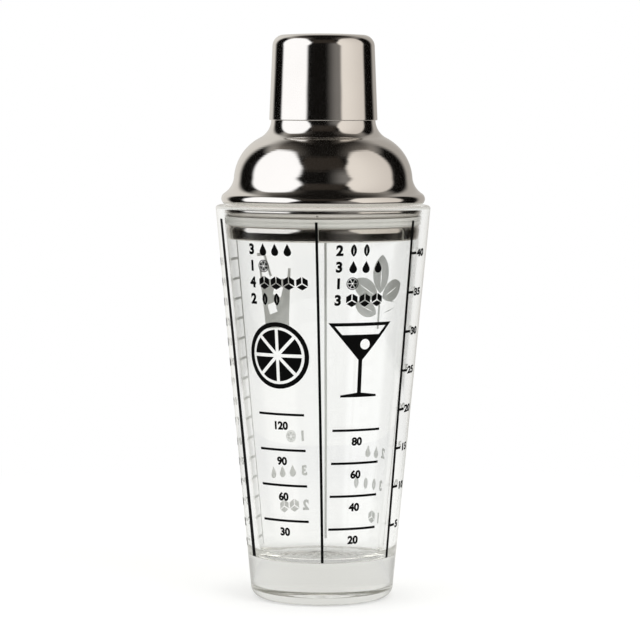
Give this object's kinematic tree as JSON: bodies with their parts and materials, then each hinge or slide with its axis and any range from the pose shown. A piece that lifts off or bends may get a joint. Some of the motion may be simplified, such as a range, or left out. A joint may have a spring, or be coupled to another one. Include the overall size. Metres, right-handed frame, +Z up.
{
  "type": "cocktail shaker",
  "caption": "Tapered measuring-glass cocktail shaker with a polished steel dome lid, strainer, silicone gasket and lift-off cap.",
  "frame": {"origin": "centre of the foot, on the table", "axes": "+Z up along the shaker's axis; the seam between the two printed panels of the picture faces -Y"},
  "size_m": [0.0848, 0.0848, 0.2231],
  "materials": {
    "clear_glass": "clear, fire polished, with black printed scales",
    "polished_steel": "mirror polished stainless steel with faint turning marks",
    "silicone": "translucent, matt"
  },
  "bodies": {
    "glass": {"glass_tumbler": "clear_glass"},
    "lid": {"lid_dome": "polished_steel", "strainer_cup": "polished_steel", "lid_gasket": "silicone"},
    "cap": {"cap": "polished_steel"}
  },
  "joints": [
    {"name": "lid_lift", "type": "slide", "parent": "glass", "child": "lid", "axis": [0, 0, 1], "range_m": [0, 0.1]},
    {"name": "cap_lift", "type": "slide", "parent": "lid", "child": "cap", "axis": [0, 0, 1], "range_m": [0, 0.06]}
  ]
}
